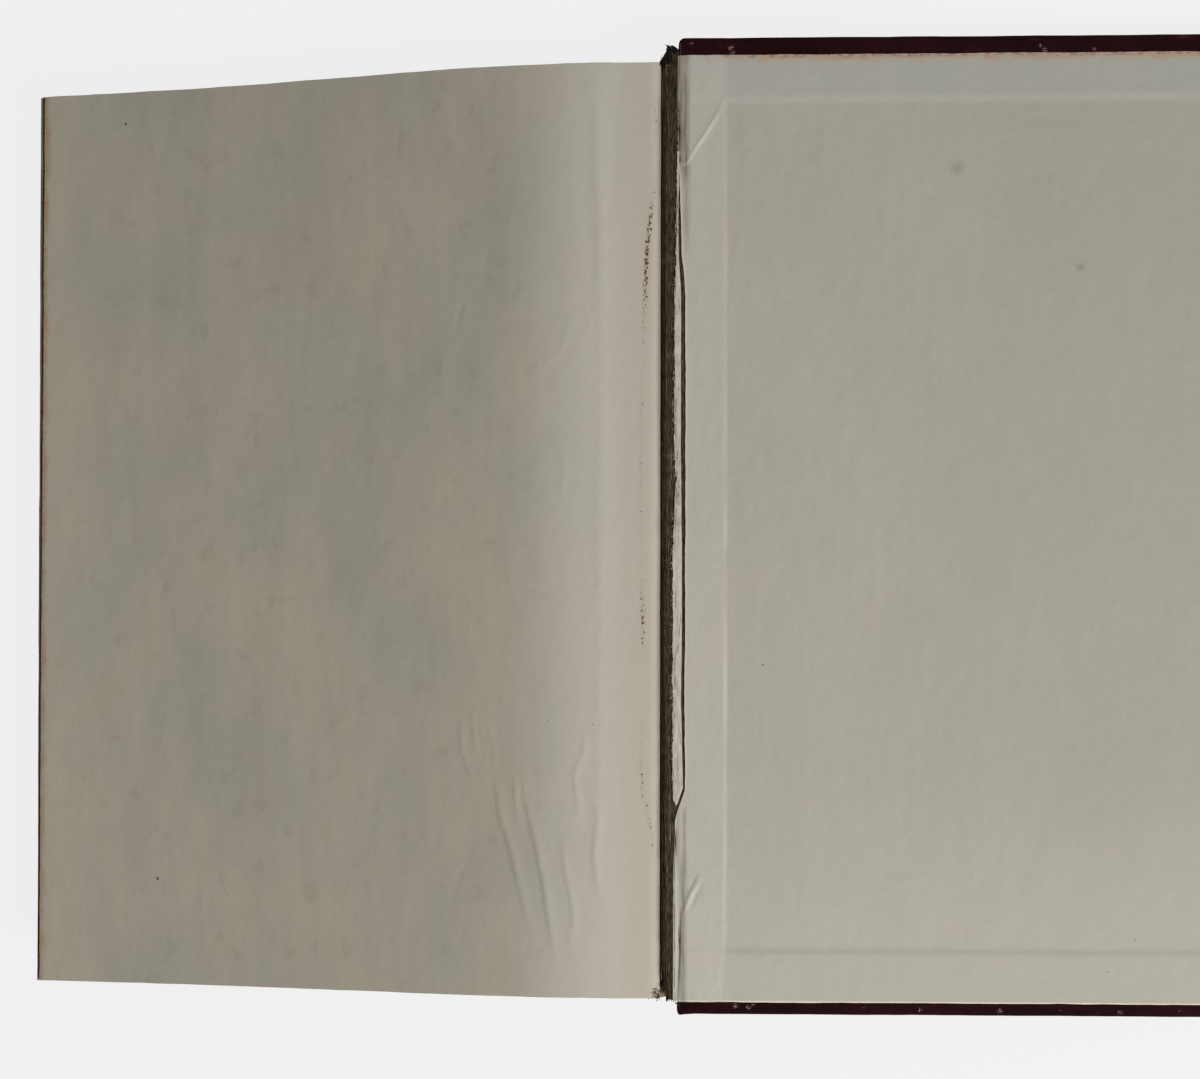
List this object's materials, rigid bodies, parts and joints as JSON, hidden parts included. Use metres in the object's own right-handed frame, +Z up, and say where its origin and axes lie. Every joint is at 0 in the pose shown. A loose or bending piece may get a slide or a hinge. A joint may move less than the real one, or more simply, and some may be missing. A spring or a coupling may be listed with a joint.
{
  "type": "open book",
  "caption": "Old cloth-bound book lying open at its back endpapers, with a cracked inner joint and covers that turn on their joints",
  "frame": {"origin": "middle of the whole open book's outline, on the table that it lies on", "axes": "+X from the fore edge of the pages to the fore edge of the open cover, +Y from tail to head, +Z up from the table"},
  "size_m": [0.3492, 0.2478, 0.0246],
  "materials": {
    "pages": "matte",
    "endpaper": "matte",
    "lining_paper": "matte",
    "mull": "matte",
    "bookcloth": "matte",
    "greyboard": "matte"
  },
  "bodies": {
    "book_block": {"text_block": "pages", "back_flyleaf": "endpaper", "front_flyleaf": "endpaper", "spine_mull": "mull", "spine_lining": "lining_paper", "spine_inlay": "greyboard", "spine_cloth": "bookcloth"},
    "back_cover": {"back_board": "greyboard", "back_cover_cloth": "bookcloth", "back_pastedown": "endpaper", "back_mull_flange": "mull", "torn_hinge_strip": "endpaper"},
    "front_cover": {"front_board": "greyboard", "front_cover_cloth": "bookcloth", "front_pastedown": "endpaper", "front_mull_flange": "mull"}
  },
  "joints": [
    {"name": "back_cover_hinge", "type": "hinge", "parent": "book_block", "child": "back_cover", "pos_m": [0.00065, -0.00075, 0.0241], "axis": [0, -1, 0], "range_deg": [-10, 184]},
    {"name": "front_cover_hinge", "type": "hinge", "parent": "book_block", "child": "front_cover", "pos_m": [0.00065, -0.00075, 0.003], "axis": [0, -1, 0], "range_deg": [0, 165]}
  ]
}
